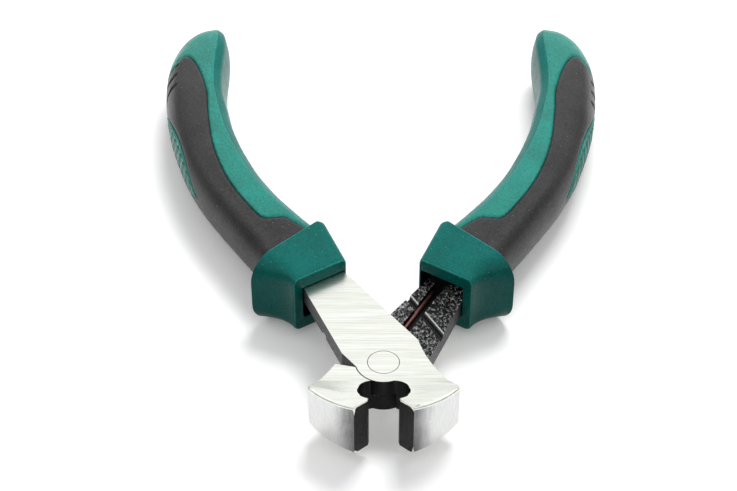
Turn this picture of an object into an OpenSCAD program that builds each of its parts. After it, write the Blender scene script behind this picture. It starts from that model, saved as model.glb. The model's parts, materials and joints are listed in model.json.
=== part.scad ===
// End cutting nippers: two lap-jointed levers on a flush rivet, opened by a wire
// spring, each with a two-material grip. Each lever is drawn with the jaws shut, the
// pivot on the Z axis and the handles towards +Y, and is then swung to the open pose.

/* [Joint] */
// Thickness of the two levers together at the pivot
joint_t = 6.8; // [6.4:0.1:7]
// Running gap between the two lap faces
lap_gap = 0.1; // [0.05:0.01:0.2]
// Radius of the round lap in front of the pivot
lap_r = 4.8; // [4.7:0.05:4.85]
// Clearance between the round lap and the other lever's shoulder
lap_clear = 0.2; // [0.15:0.05:0.3]
// Radius of the rivet's shank
rivet_r = 2.1; // [1.9:0.1:2.2]
// Radius of the rivet's flush heads
rivet_head_r = 2.8; // [2.6:0.1:3]
// Depth of the conical rivet heads
rivet_head_t = 0.7; // [0.5:0.1:0.9]
// Radial running clearance of the rivet
rivet_clear = 0.03; // [0.02:0.01:0.05]

/* [Jaws] */
// Radius of the jaws' round front, jaws shut
front_r = 16.5; // [16:0.1:17]
// How far behind the pivot the front radius has its centre
front_back = 2.45; // [2.2:0.05:2.7]
// Distance from the pivot to the cutting edge
nose_y = 11.6; // [11.4:0.1:12]
// Angle of the outside bevel to the cutting plane
bevel_angle = 38; // [36:1:44]
// Gap left between the cutting edges when shut
edge_gap = 0.1; // [0.04:0.01:0.15]
// Distance of a jaw's side tip from the cutting plane
tip_x = 10.9; // [10.4:0.1:11.3]
// Radius of the two overlapping circles that form the throat
throat_r = 2.65; // [2.4:0.05:2.8]
// Distance from the pivot to the throat's rear circle
throat_rear_y = 7.3; // [7.2:0.05:7.5]
// Distance from the pivot to the throat's front circle
throat_front_y = 8.25; // [8:0.05:8.4]
// Distance from the pivot to the full-height shoulder
shoulder_y = 2.3; // [2.1:0.05:2.6]
// Radius of the hollow from the tang out to the side tip
hollow_r = 24.5; // [23:0.5:27]
// Width of the flat between the hollow and the front face
tip_edge = 1; // [0.6:0.1:1.4]
// Angle at which the ground faces rise from the joint to the edge
ramp_angle = 18.4; // [17.5:0.1:19]
// Fall of the rising faces towards the side tip
ramp_side_angle = 4; // [3:0.5:5]
// Distance from the pivot to the foot of the rise
ramp_y = 4.6; // [4.4:0.1:5]
// Height of the jaws at the cutting edge
edge_h = 11.3; // [11:0.1:11.5]
// Rise of the front facet towards the front
facet_angle = 5.7; // [4.5:0.1:7]
// Fall of the front facet towards the side tip
facet_side_angle = 5.6; // [4.5:0.1:6.5]

/* [Levers] */
// Distance of the tang's heel, its outer corner behind the pivot, from the tool's axis
heel_x = 6.5; // [6.3:0.1:6.7]
// Distance of the heel behind the pivot
heel_y = 3.8; // [3.4:0.1:4.2]
// Distance of the tang's inner corner, at the hollow, from the tool's axis
hip_x = 7.2; // [7:0.1:7.4]
// Distance of that corner behind the pivot
hip_y = 4; // [3.8:0.1:4.4]
// Distance from the pivot to the end of the flat tang
tang_end_y = 29; // [28.5:0.1:29.5]
// Outer edge of the flat tang at its end, from the tool's axis
tang_end_outer_x = 10.8; // [10.7:0.05:10.9]
// Inner edge of the flat tang at its end, from the tool's axis
tang_end_inner_x = 3.35; // [3.3:0.05:3.5]
// Width of the core inside the grip
core_w = 6.4; // [5.6:0.1:6.8]
// Thickness of the core inside the grip
core_t = 5.4; // [4.6:0.2:5.8]
// Distance from the pivot to the core's front end, under the tang's end
core_start_y = 26; // [25.5:0.1:27]
// Distance from the pivot to the core's far end
core_end_y = 84; // [78:1:88]
// Angle of the cross slot to the tool's width
slot_angle = 47.4; // [42:0.2:52]
// Distance behind the pivot at which the slot would cross the tool's axis
slot_y = 20.5; // [19.5:0.1:21]
// Width of the cross slot between the rough pads
slot_w = 1.1; // [0.8:0.1:1.4]
// Depth of the cross slot
slot_t = 0.8; // [0.5:0.1:1.1]
// Width of the bevelled lip on the grip side of the slot
slot_lip = 0.5; // [0.3:0.1:0.7]

/* [Spring] */
// Diameter of the spring wire
wire_d = 0.8; // [0.7:0.05:0.8]
// Radius of the turn round the rivet, to the wire's centre
turn_r = 2.75; // [2.7:0.01:2.8]
// Height of each leg's centre line above or below the lap faces' mid-plane
leg_z = 0.65; // [0.62:0.01:0.68]
// Lean of the legs and of their channels to the tool's axis, jaws shut
leg_lean = 15.7; // [15.2:0.1:16.2]
// Straight length of each spring leg
leg_len = 24; // [21:0.5:26]
// Radius of the recess round the rivet
recess_r = 3.45; // [3.4:0.05:3.6]
// Depth of the recess and channels that hold the spring
recess_t = 1.2; // [1.15:0.05:1.35]
// Clearance beside the wire in its channel
wire_clear = 0.15; // [0.1:0.05:0.2]
// Spare width of the channel on the outer side of each leg
channel_spare = 1.1; // [0.7:0.1:1.3]

/* [Grips] */
// Distance from the pivot to the grip's front end, hidden in the collar
grip_root_y = 27; // [26.8:0.1:27.4]
// Distance from the pivot to the far end of the grip
grip_end_y = 106; // [103:1:109]
// Greatest distance of the grip's centre line from the tool's axis, jaws shut
grip_bow = 20; // [19.7:0.1:20.4]
// Greatest width of the grip
grip_w = 13.8; // [13.4:0.1:14.2]
// Thickness of the grip
grip_t = 14; // [13.6:0.1:14.2]
// Wall of the soft cover over the hard body
cover_wall = 1.7; // [1.4:0.1:1.8]
// Seam between the soft cover and the hard body
seam_gap = 0.05; // [0.03:0.01:0.08]
// Clearance between the core and its pocket in the grip
pocket_clear = 0.05; // [0.03:0.01:0.1]
// Distance from the pivot to the middle of the lens-shaped window
lens_y = 70; // [68:0.1:72]
// Half length of the lens-shaped window in the soft cover
lens_reach = 14.2; // [12:0.2:15]
// Half height of the lens-shaped window
lens_rise = 3.6; // [3:0.1:4]
// How far the window's face lies below the soft cover
lens_sink = 0.35; // [0.2:0.05:0.5]
// Distance from the pivot to the middle of the nearest of the three grooves
groove_y = 87; // [86.5:0.1:87.5]
// Spacing of the grooves along the grip
groove_step = 3.5; // [3.2:0.1:3.6]
// Width of the grooves
groove_w = 0.9; // [0.7:0.1:1.1]
// Depth of the grooves
groove_t = 0.8; // [0.5:0.1:1]

/* [Collars] */
// Width of the collar at its mouth
mouth_w = 11.4; // [11.2:0.1:11.6]
// Angle of the mouth to the tool's width
mouth_angle = 20; // [19:0.5:21]
// Distance of the mouth's middle from the tool's axis
mouth_x = 6.25; // [6.15:0.05:6.3]
// Distance of the mouth's middle from the pivot
mouth_y = 22.85; // [22.65:0.05:23.05]
// Width of the collar at its guard ridge
ridge_w = 18.2; // [18:0.1:18.5]
// Angle of the ridge to the tool's width
ridge_angle = 31.5; // [30.5:0.5:32.5]
// Distance of the ridge's middle from the tool's axis
ridge_x = 10.75; // [10.65:0.05:10.85]
// Distance of the ridge's middle from the pivot
ridge_y = 30.75; // [30.45:0.05:31]
// Thickness of the collar at its mouth
mouth_t = 12.4; // [12.2:0.1:12.6]
// Thickness of the collar at the guard ridge
ridge_t = 15.4; // [15:0.1:15.8]
// Depth of the hollow in the collar's outer side
side_hollow = 1.1; // [0.8:0.1:1.5]
// Corner radius along the inner side and round the mouth
inner_corner = 1.3; // [1:0.1:1.6]
// Corner radius of the guard's outer lobe
lobe_corner = 5; // [4.6:0.1:5.4]
// Rounding of the guard's rear edge
rear_round = 0.9; // [0.6:0.1:1.2]
// Height of the mouth's opening
mouth_h = 7.2; // [7.1:0.1:7.4]
// Clearance of the tang inside the mouth
mouth_clear = 0.25; // [0.2:0.05:0.3]

/* [Pose] */
// Angle of each lever from the shut position, as drawn
open_half = 13.2; // [12.8:0.1:13.2]

/* [Hidden] */
$fn = 96;
overrun = lap_gap;
far = grip_end_y;

// Grip stations: place along the grip, then the centre line's distance from the axis,
// the width and the thickness, as shares of grip length, grip_bow, grip_w and grip_t
grip_shares = [
    [0, 0.43, 0.942, 0.97], [0.0875, 0.503, 0.993, 0.97], [0.1625, 0.625, 0.942, 0.975],
    [0.2375, 0.743, 0.891, 0.98], [0.325, 0.855, 0.884, 0.985],
    [0.4125, 0.93, 0.899, 0.99], [0.4875, 0.973, 0.906, 0.995], [0.5625, 0.995, 0.913, 1],
    [0.6375, 0.995, 0.928, 1], [0.7125, 0.978, 0.906, 1], [0.7875, 0.936, 0.925, 1],
    [0.85, 0.884, 0.945, 1], [0.9, 0.829, 0.93, 0.985], [0.9375, 0.781, 0.865, 0.96],
    [0.9625, 0.745, 0.775, 0.92], [0.98125, 0.709, 0.655, 0.85],
    [0.99375, 0.677, 0.5, 0.75], [1, 0.652, 0.34, 0.62]
];
// Upper half of the grip's section, from the inner side out: shares of the width and
// of the half thickness. The step near the inner side is the bevel of the top face.
half_section_shares = [
    [0, 0], [0.012, 0.35], [0.04, 0.63], [0.065, 0.81], [0.195, 1], [0.4, 1],
    [0.54, 0.975], [0.67, 0.91], [0.79, 0.79], [0.88, 0.64], [0.95, 0.44],
    [0.988, 0.22], [1, 0]
];
// Edge of the soft cover seen from above: shares of the grip's length and of grip_bow
seam_shares = [
    [0.135, 0.43], [0.149, 0.485], [0.1525, 0.58], [0.161, 0.675], [0.1825, 0.725],
    [0.2125, 0.77], [0.254, 0.826], [0.296, 0.873], [0.341, 0.911], [0.391, 0.936],
    [0.45, 0.95], [0.504, 0.945], [0.5625, 0.925], [0.621, 0.9], [0.681, 0.865],
    [0.726, 0.86], [0.769, 0.868], [0.8075, 0.885], [0.842, 0.915], [0.867, 0.955],
    [0.877, 1.01], [0.875, 1.07], [0.862, 1.12], [0.82, 1.5]
];
// Where that edge leaves the guard, as a share of the ridge's width from its middle
seam_start_share = -0.32;

function lerp(a, b, t) = a + (b - a) * t;
function flat(list) = [for (row = list) for (p = row) p];
function unit(v) = v / norm(v);
function turned(p, a) = [p[0] * cos(a) - p[1] * sin(a), p[0] * sin(a) + p[1] * cos(a)];
function lifted(p, z) = [p[0], p[1], z];

// Smooth curve through the rows of a table: one column's value at a station
function curve(a, b, c, d, t) =
    b + t / 2 * (c - a + t * (2 * a - 5 * b + 4 * c - d + t * (3 * (b - c) + d - a)));
function row_at(rows, s, i = 0) =
    i >= len(rows) - 2 || s < rows[i + 1][0] ? i : row_at(rows, s, i + 1);
function along(rows, s, column) =
    let (i = row_at(rows, s), last = len(rows) - 1,
        t = (s - rows[i][0]) / (rows[i + 1][0] - rows[i][0]))
    curve(rows[max(i - 1, 0)][column], rows[i][column],
        rows[i + 1][column], rows[min(i + 2, last)][column], t);

// Closed skin over rings of equal length, with flat ends
module skin(rings) {
    n = len(rings[0]);
    last = (len(rings) - 1) * n;
    polyhedron(
        points = flat(rings),
        faces = concat(
            [[for (k = [n - 1:-1:0]) k]],
            [[for (k = [0:n - 1]) last + k]],
            flat([for (j = [0:len(rings) - 2]) [for (k = [0:n - 1])
                [j * n + k, j * n + (k + 1) % n, (j + 1) * n + k]]]),
            flat([for (j = [0:len(rings) - 2]) [for (k = [0:n - 1])
                [j * n + (k + 1) % n, (j + 1) * n + (k + 1) % n, (j + 1) * n + k]]])),
        convexity = 6);
}

// Grip: the full form, or the form taken in by a wall all round
grip_len = grip_end_y - grip_root_y;
least_share = 0.3;
ring_count = 26;
section_ring_shares = concat(half_section_shares,
    [for (i = [len(half_section_shares) - 2:-1:1])
        [half_section_shares[i][0], -half_section_shares[i][1]]]);
function grip_mid(s) = -grip_bow * along(grip_shares, s, 1);
function taken_in(size, inset) = max(size - 2 * inset, size * least_share);
function grip_ring(s, inset) =
    let (w = taken_in(grip_w * along(grip_shares, s, 2), inset),
        h = taken_in(grip_t * min(along(grip_shares, s, 3), 1), inset))
    [for (p = section_ring_shares)
        [grip_mid(s) + w / 2 - p[0] * w, grip_root_y + (grip_len - inset) * s, p[1] * h / 2]];
// The rings lie closer together towards the rounded far end
function ring_share(i) = lerp(i / ring_count, sin(90 * i / ring_count), 1 / 2);
module grip_form(inset) {
    skin([for (i = [0:ring_count]) grip_ring(ring_share(i), inset)]);
}

// Collar: rounded oblongs from the mouth back to the guard ridge
mouth_mid = [-mouth_x, mouth_y];
ridge_mid = [-ridge_x, ridge_y];
mouth_out = turned([-1, 0], mouth_angle);
ridge_out = turned([-1, 0], ridge_angle);
ridge_rear = turned(ridge_out, -90);
mouth_ends = [for (side = [-1, 1]) mouth_mid + side * mouth_out * mouth_w / 2];
ridge_ends = [for (side = [-1, 1]) ridge_mid + side * ridge_out * ridge_w / 2];
corner_steps = 5;
collar_count = 9;
function corner(r, from) =
    [for (i = [0:corner_steps]) let (a = from + 90 * i / corner_steps)
        r * [cos(a), sin(a)]];
function oblong(w, h, r0, r1) = concat(
    [for (c = corner(r0, 180)) c + [r0, r0 - h / 2]],
    [for (c = corner(r1, 270)) c + [w - r1, r1 - h / 2]],
    [for (c = corner(r1, 0)) c + [w - r1, h / 2 - r1]],
    [for (c = corner(r0, 90)) c + [r0, h / 2 - r0]]);
function collar_ring(t, inset = 0, back = 0) =
    let (hollow = side_hollow * 4 * t * (1 - t),
        inner = lerp(mouth_ends[0], ridge_ends[0], t),
        outer = lerp(mouth_ends[1], ridge_ends[1], t) - mouth_out * hollow,
        w = norm(outer - inner),
        out = (outer - inner) / w)
    [for (p = oblong(w - 2 * inset, lerp(mouth_t, ridge_t, t) - 2 * inset,
            inner_corner, lerp(inner_corner, lobe_corner, t)))
        lifted(inner + out * (p[0] + inset) + ridge_rear * back, p[1])];
collar_rings = concat(
    [collar_ring(0, inner_corner / 4)],
    [for (i = [1:collar_count])
        collar_ring(lerp(inner_corner / 4 / ridge_y, 1, i / collar_count))],
    [collar_ring(1, rear_round / 3, rear_round * 2 / 3), collar_ring(1, rear_round, rear_round)]);
module collar_form() {
    for (i = [0:len(collar_rings) - 2])
        hull() skin([collar_rings[i], collar_rings[i + 1]]);
}

// Levers: the space below a slope that rises to the front and falls to the side
module below_slope(y, z, rise, fall) {
    translate([0, -y, z]) rotate([-rise, fall, 0])
        translate([-far, -far, -2 * far]) cube(2 * far);
}

// Centre, on the right of the way from a to b, of an arc that joins them
function arc_centre(a, b, r) =
    let (half = (b - a) / 2, d = norm(half))
    a + half + turned(half / d, -90) * sqrt(r * r - d * d);
// Where the line from a point towards another leaves a circle
function leave_circle(start, goal, centre, r) =
    let (d = unit(goal - start), m = start - centre, b = d * m)
    start + d * (sqrt(b * b - m * m + r * r) - b);

tip = [tip_x, front_back - sqrt(front_r * front_r - tip_x * tip_x) + tip_edge];
hip = [hip_x, hip_y];
nose = [edge_gap / 2, -nose_y];
bevel_far = nose + front_r * [sin(bevel_angle), -cos(bevel_angle)];
front_corner = leave_circle(nose, bevel_far, [0, front_back], front_r);

module hollow() {
    translate(arc_centre(tip, hip, hollow_r)) circle(r = hollow_r, $fn = 240);
}

module jaw_plan() {
    difference() {
        intersection() {
            translate([0, front_back]) circle(r = front_r, $fn = 180);
            polygon([[edge_gap / 2, 0], nose, bevel_far, [tip_x, bevel_far[1]], [tip_x, 0]]);
        }
        hollow();
        for (y = [throat_rear_y, throat_front_y]) translate([0, -y]) circle(r = throat_r);
    }
}

// The tang's inner edge runs on past the hip, where the hollow cuts it off
module tang_plan() {
    inner_end = [-tang_end_inner_x, tang_end_y];
    difference() {
        polygon([[0, -shoulder_y], [0, 0], [-lap_r, 0], [-heel_x, heel_y],
            [-tang_end_outer_x, tang_end_y], inner_end,
            hip + unit(hip - inner_end) * overrun, [tip_x, -shoulder_y]]);
        hollow();
    }
}

core_first_share = 0.16;
core_steps = 7;
module core_plan() {
    last_share = (core_end_y - grip_root_y) / grip_len;
    tang_mid = (tang_end_y - core_start_y) * sin(leg_lean)
        - (tang_end_outer_x + tang_end_inner_x) / 2;
    spine = concat([[tang_mid, core_start_y]],
        [for (i = [0:core_steps]) let (s = lerp(core_first_share, last_share, i / core_steps))
            [grip_mid(s), grip_root_y + grip_len * s]]);
    polygon(concat([for (p = spine) p - [core_w / 2, 0]],
        [for (i = [len(spine) - 1:-1:0]) spine[i] + [core_w / 2, 0]]));
}

module jaw_block() {
    intersection() {
        linear_extrude(2 * far, center = true) difference() {
            jaw_plan();
            circle(r = lap_r + lap_clear);
            translate([0, -shoulder_y]) square([far, far]);
        }
        intersection_for (side = [0, 1]) mirror([0, 0, side])
            below_slope(nose_y, edge_h / 2, facet_angle, facet_side_angle);
        union() {
            cube([2 * far, 2 * far, joint_t], center = true);
            intersection_for (side = [0, 1]) mirror([0, 0, side])
                below_slope(ramp_y, joint_t / 2, ramp_angle, ramp_side_angle);
        }
    }
}

module spring_seat() {
    translate([0, 0, -overrun]) cylinder(r = recess_r, h = recess_t + overrun);
    rotate(leg_lean) translate([turn_r - wire_d / 2 - channel_spare, 0, -overrun])
        cube([wire_d + wire_clear + channel_spare, far, recess_t + overrun]);
}

// The channel ends where the core starts, but a longer leg has its own room in the core
module leg_room() {
    rotate(leg_lean) translate([turn_r - wire_d / 2 - wire_clear, 0, -overrun])
        cube([wire_d + 2 * wire_clear, leg_len + wire_clear, recess_t + overrun]);
}

module cross_slot() {
    edge = slot_w / 2;
    translate([0, slot_y]) rotate(slot_angle) rotate([90, 0, 90])
        linear_extrude(2 * far, center = true) polygon([
            [-edge, -overrun], [edge + slot_lip + overrun, -overrun],
            [edge, slot_lip], [edge, slot_t], [-edge, slot_t]]);
}

module lever() {
    difference() {
        union() {
            translate([0, 0, lap_gap / 2]) linear_extrude((joint_t - lap_gap) / 2) {
                circle(r = lap_r);
                tang_plan();
                jaw_plan();
            }
            jaw_block();
            linear_extrude(core_t, center = true) core_plan();
        }
        cylinder(r = rivet_r + rivet_clear, h = joint_t);
        translate([0, 0, joint_t / 2 - rivet_head_t])
            cylinder(r1 = rivet_r + rivet_clear, r2 = rivet_head_r + rivet_clear,
                h = rivet_head_t);
        intersection() {
            union() {
                spring_seat();
                cross_slot();
            }
            translate([-far, -far, -far]) cube([2 * far, far + core_start_y, 2 * far]);
        }
        leg_room();
    }
}

module rivet() {
    rotate_extrude() polygon([
        [0, -joint_t / 2], [rivet_head_r, -joint_t / 2],
        [rivet_r, rivet_head_t - joint_t / 2], [rivet_r, joint_t / 2 - rivet_head_t],
        [rivet_head_r, joint_t / 2], [0, joint_t / 2]]);
}

// Spring: a straight leg in the upper lever, a turn round the front of the rivet
// that sinks from one side of the mid-plane to the other, and a leg in the lower lever
turn_from = leg_lean + open_half;
turn_steps = 40;
leg_steps = 10;
wire_sides = 8;
function turn_point(i) =
    let (a = turn_from - (180 + 2 * turn_from) * i / turn_steps)
    [turn_r * cos(a), turn_r * sin(a), leg_z * cos(180 * i / turn_steps)];
function leg_point(i) = lifted(turned([turn_r, leg_len * i / leg_steps], turn_from), leg_z);
wire_path = concat(
    [for (i = [leg_steps:-1:1]) leg_point(i)],
    [for (i = [0:turn_steps]) turn_point(i)],
    [for (i = [1:leg_steps]) let (p = leg_point(i)) [-p[0], p[1], -p[2]]]);
wire_last = len(wire_path) - 1;
function heading(i) = unit(wire_path[min(i + 1, wire_last)] - wire_path[max(i - 1, 0)]);
function wire_ring(i) =
    let (side = unit(cross(heading(i), [0, 0, 1])), up = cross(side, heading(i)))
    [for (k = [0:wire_sides - 1]) let (a = 360 * k / wire_sides)
        wire_path[i] + wire_d / 2 * (side * cos(a) + up * sin(a))];
// Least gap between stretches of the wire, at its points and where the legs cross
apart = turn_steps / 4;
point_gap = min([for (i = [0:wire_last - apart]) for (j = [i + apart:wire_last])
    norm(wire_path[i] - wire_path[j])]) - wire_d;
echo(spring_gap = min(point_gap, 2 * leg_z - wire_d));

// Grip pieces
function behind_ridge(x) =
    ridge_mid + ridge_out * x + ridge_rear * (rear_round + seam_gap);
module cover_plan() {
    polygon(concat([behind_ridge(seam_start_share * ridge_w)],
        [for (p = seam_shares) [-grip_bow * p[1], grip_root_y + grip_len * p[0]]],
        [behind_ridge(2 * ridge_w)]));
}

module lens(shrink) {
    rise = lens_rise - shrink;
    r = (lens_reach * lens_reach + rise * rise) / (2 * rise);
    translate([-grip_bow, lens_y, 0]) rotate([0, -90, 0]) linear_extrude(far)
        intersection_for (side = [-1, 1]) translate([side * (r - rise), 0])
            circle(r = r, $fn = 120);
}

// Each groove runs from the cover's top round its outer side, down and forwards:
// shares of groove_step along the grip and of the grip's thickness
groove_shares = [[0.1, 0.36], [0, 0.18], [-0.5, 0], [-1, -0.25]];
module grooves() {
    for (i = [0:2]) translate([-grip_bow - grip_w / 2, groove_y + i * groove_step, 0])
        for (j = [0:len(groove_shares) - 2])
            hull() for (p = [groove_shares[j], groove_shares[j + 1]])
                translate([0, p[0] * groove_step, p[1] * grip_t]) rotate([0, 90, 0])
                    cylinder(d = groove_w, h = grip_w, center = true, $fn = 16);
}

module grip_pocket() {
    linear_extrude(core_t + 2 * pocket_clear, center = true)
        offset(delta = pocket_clear) core_plan();
    linear_extrude(mouth_h, center = true) intersection() {
        offset(delta = mouth_clear) tang_plan();
        translate([-far, 0]) square([2 * far, tang_end_y + mouth_clear]);
    }
}

module grip_body() {
    difference() {
        union() {
            difference() {
                grip_form(0);
                linear_extrude(2 * ridge_t, center = true) cover_plan();
            }
            grip_form(cover_wall + seam_gap);
            intersection() {
                grip_form(lens_sink);
                lens(seam_gap);
            }
            collar_form();
        }
        grip_pocket();
    }
}

module grip_cover() {
    difference() {
        intersection() {
            grip_form(0);
            linear_extrude(2 * ridge_t, center = true) offset(delta = -seam_gap) cover_plan();
        }
        grip_form(cover_wall);
        lens(0);
        difference() {
            grooves();
            grip_form(groove_t);
        }
    }
}

// The origin is under the middle of the open tool's box, on the surface it lies on
far_reach = max([for (i = [0:ring_count]) for (p = grip_ring(ring_share(i), 0))
    turned(p, open_half)[1]]);
near_reach = turned(front_corner, open_half)[1];
module placed() {
    translate([0, -(far_reach + near_reach) / 2, ridge_t / 2]) children();
}
module left_side() {
    placed() rotate(open_half) children();
}
module right_side() {
    placed() rotate([0, 180, 0]) rotate(open_half) children();
}

module upper_lever() {
    color("gainsboro") left_side() lever();
}
module lower_lever() {
    color("gainsboro") right_side() lever();
}
module pivot_rivet() {
    color("silver") placed() rivet();
}
module return_spring() {
    color("rosybrown") placed() skin([for (i = [0:wire_last]) wire_ring(i)]);
}
module left_grip_body() {
    color("teal") left_side() grip_body();
}
module right_grip_body() {
    color("teal") right_side() grip_body();
}
module left_grip_cover() {
    color("dimgray") left_side() grip_cover();
}
module right_grip_cover() {
    color("dimgray") right_side() grip_cover();
}

upper_lever();
lower_lever();
pivot_rivet();
return_spring();
left_grip_body();
right_grip_body();
left_grip_cover();
right_grip_cover();
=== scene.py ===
import json
import math

import bmesh
import bpy
import numpy as np
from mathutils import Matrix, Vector


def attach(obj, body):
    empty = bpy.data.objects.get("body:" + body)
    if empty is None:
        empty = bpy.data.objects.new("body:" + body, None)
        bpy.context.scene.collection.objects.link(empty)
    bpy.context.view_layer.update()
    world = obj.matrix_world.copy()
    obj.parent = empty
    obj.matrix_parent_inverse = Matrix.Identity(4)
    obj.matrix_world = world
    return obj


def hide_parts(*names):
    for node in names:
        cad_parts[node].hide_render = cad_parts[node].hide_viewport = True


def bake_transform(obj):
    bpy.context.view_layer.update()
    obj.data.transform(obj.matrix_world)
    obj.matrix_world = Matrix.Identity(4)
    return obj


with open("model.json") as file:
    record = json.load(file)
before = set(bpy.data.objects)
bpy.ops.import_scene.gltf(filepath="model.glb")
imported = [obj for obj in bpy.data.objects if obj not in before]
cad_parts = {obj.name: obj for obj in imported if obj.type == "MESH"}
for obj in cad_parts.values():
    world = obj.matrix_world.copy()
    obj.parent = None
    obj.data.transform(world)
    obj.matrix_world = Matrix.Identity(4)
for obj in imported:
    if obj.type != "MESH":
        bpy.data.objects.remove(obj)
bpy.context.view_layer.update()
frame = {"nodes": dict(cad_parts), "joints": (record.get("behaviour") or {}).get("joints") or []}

# ---------------------------------------------------------------------------
# The view. A long lens in front of the jaws, a little to the left, looking down at
# them, with the handles running away. The rivet is where all places are measured from.
# ---------------------------------------------------------------------------
MM = 0.001
pivot = Vector(frame["joints"][0]["pos_m"])
camera_from_pivot = Vector((-2.586, -214.7, 213.895)) * MM
looking_down = math.radians(40.6)
lens_length = 85.0
film_w = 36.0
nearest_seen = 0.01
farthest_seen = 20.0

camera_data = bpy.data.cameras.new("long_lens")
camera_data.lens = lens_length
camera_data.sensor_width = film_w
camera_data.clip_start = nearest_seen
camera_data.clip_end = farthest_seen
camera = bpy.data.objects.new("long_lens", camera_data)
camera.location = pivot + camera_from_pivot
camera.rotation_euler = (math.pi / 2 - looking_down, 0, 0)
bpy.context.scene.collection.objects.link(camera)
bpy.context.scene.camera = camera


# ---------------------------------------------------------------------------
# The steel levers. Two equal drop forgings of tool steel, one turned over on the
# other. Both broad faces and the round jaw fronts are ground bright. The bevels beside
# the gap, the throat and the inner sides keep their black forging skin.
# ---------------------------------------------------------------------------
class Value:
    """One output of a node in a finish. Sums on it add Math nodes."""

    def __init__(self, finish, socket):
        self.finish = finish
        self.socket = socket

    def math(self, operation, *values):
        return self.finish.math(operation, self, *values)

    def __add__(self, other):
        return self.math("ADD", other)

    def __sub__(self, other):
        return self.math("SUBTRACT", other)

    def __rsub__(self, other):
        return self.finish.math("SUBTRACT", other, self)

    def __mul__(self, other):
        return self.math("MULTIPLY", other)

    __radd__ = __add__
    __rmul__ = __mul__


class Finish:
    """The shader nodes of one kind of surface on the tool, or of the studio's sky."""

    noise_low, noise_high = 0.3, 0.7
    mix_first, mix_second, mix_colour = 6, 7, 2

    def __init__(self, name, made_in=None):
        if made_in is None:
            made_in = bpy.data.materials
        self.owner = made_in.new(name)
        self.owner.use_nodes = True
        self.tree = self.owner.node_tree
        self.tree.nodes.clear()

    def add(self, kind, settings=None, sockets=None, out=0):
        """A node: its settings first, then the values or links of its sockets. Gives
        the output that is asked for, or a list of them for a list of names."""
        node = self.tree.nodes.new("ShaderNode" + kind)
        for key, value in (settings or {}).items():
            setattr(node, key, value)
        for key, value in (sockets or {}).items():
            if isinstance(value, Value):
                self.tree.links.new(value.socket, node.inputs[key])
            else:
                node.inputs[key].default_value = value
        if isinstance(out, list):
            return [Value(self, node.outputs[name]) for name in out]
        return Value(self, node.outputs[out]) if node.outputs else None

    def math(self, operation, *values):
        return self.add("Math", {"operation": operation}, dict(enumerate(values)))

    def place(self, stretch=(1, 1, 1)):
        """The spot on the piece in millimetres, stretched by a factor along each axis."""
        spot = self.add("TexCoord", out="Object")
        factors = tuple(factor / MM for factor in stretch)
        return self.add("VectorMath", {"operation": "MULTIPLY"}, {0: spot, 1: factors})

    def noise(self, stretch, detail=2.0, roughness=0.5):
        return self.add("TexNoise", None, {
            "Vector": self.place(stretch), "Scale": 1.0, "Detail": detail,
            "Roughness": roughness})

    def cells(self, feature, stretch):
        """Distance from the nearest of evenly scattered spots."""
        return self.add("TexVoronoi", {"feature": feature}, {
            "Vector": self.place(stretch), "Scale": 1.0}, out="Distance")

    def step(self, value, low, high, start=0.0, end=1.0):
        """A smooth step from start to end as the value goes from low to high."""
        return self.add("MapRange", {"interpolation_type": "SMOOTHSTEP"}, {
            "Value": value, "From Min": low, "From Max": high,
            "To Min": start, "To Max": end})

    def over(self, noise, start, end):
        """A smooth step over the whole of what a noise usually gives."""
        return self.step(noise, self.noise_low, self.noise_high, start, end)

    def mix(self, factor, first, second):
        """The first colour where the factor is 0, and the second where it is 1."""
        return self.add("Mix", {"data_type": "RGBA"}, {
            0: factor, self.mix_first: first, self.mix_second: second},
            out=self.mix_colour)

    def bump(self, height, strength, distance):
        """Relief of a height from 0 to 1 that stands for a distance in millimetres."""
        return self.add("Bump", None, {
            "Height": height, "Strength": strength, "Distance": distance * MM})

    def surface(self, **sockets):
        """Ends the finish in its shader. Socket names are given with underscores."""
        shader = self.add("BsdfPrincipled", None, {
            name.replace("_", " "): value for name, value in sockets.items()})
        self.add("OutputMaterial", None, {"Surface": shader})
        return self.owner


def shade(red, green, blue):
    """A colour as it reads on a screen, 0 to 255, in the linear values of the nodes."""
    return tuple((c / 255) ** 2.2 for c in (red, green, blue)) + (1.0,)


def ground_face_finish():
    """Surface-ground steel: fine lines across the tool, nearly white under soft light."""
    finish = Finish("ground_face")
    cool, warm = shade(242, 243, 240), shade(231, 234, 223)
    scratch = shade(214, 216, 207)
    lines = finish.noise((0.09, 8.0, 0.4), detail=4.0, roughness=0.75)
    broad = finish.noise((0.04, 0.7, 0.2), detail=3.0)
    bright = finish.mix(finish.step(broad, 0.35, 0.65), cool, warm)
    colour = finish.mix(finish.step(lines, 0.36, 0.6), scratch, bright)
    return finish.surface(
        Base_Color=colour, Metallic=1.0, Roughness=finish.over(lines, 0.36, 0.24),
        Normal=finish.bump(lines, strength=0.2, distance=0.02))


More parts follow.
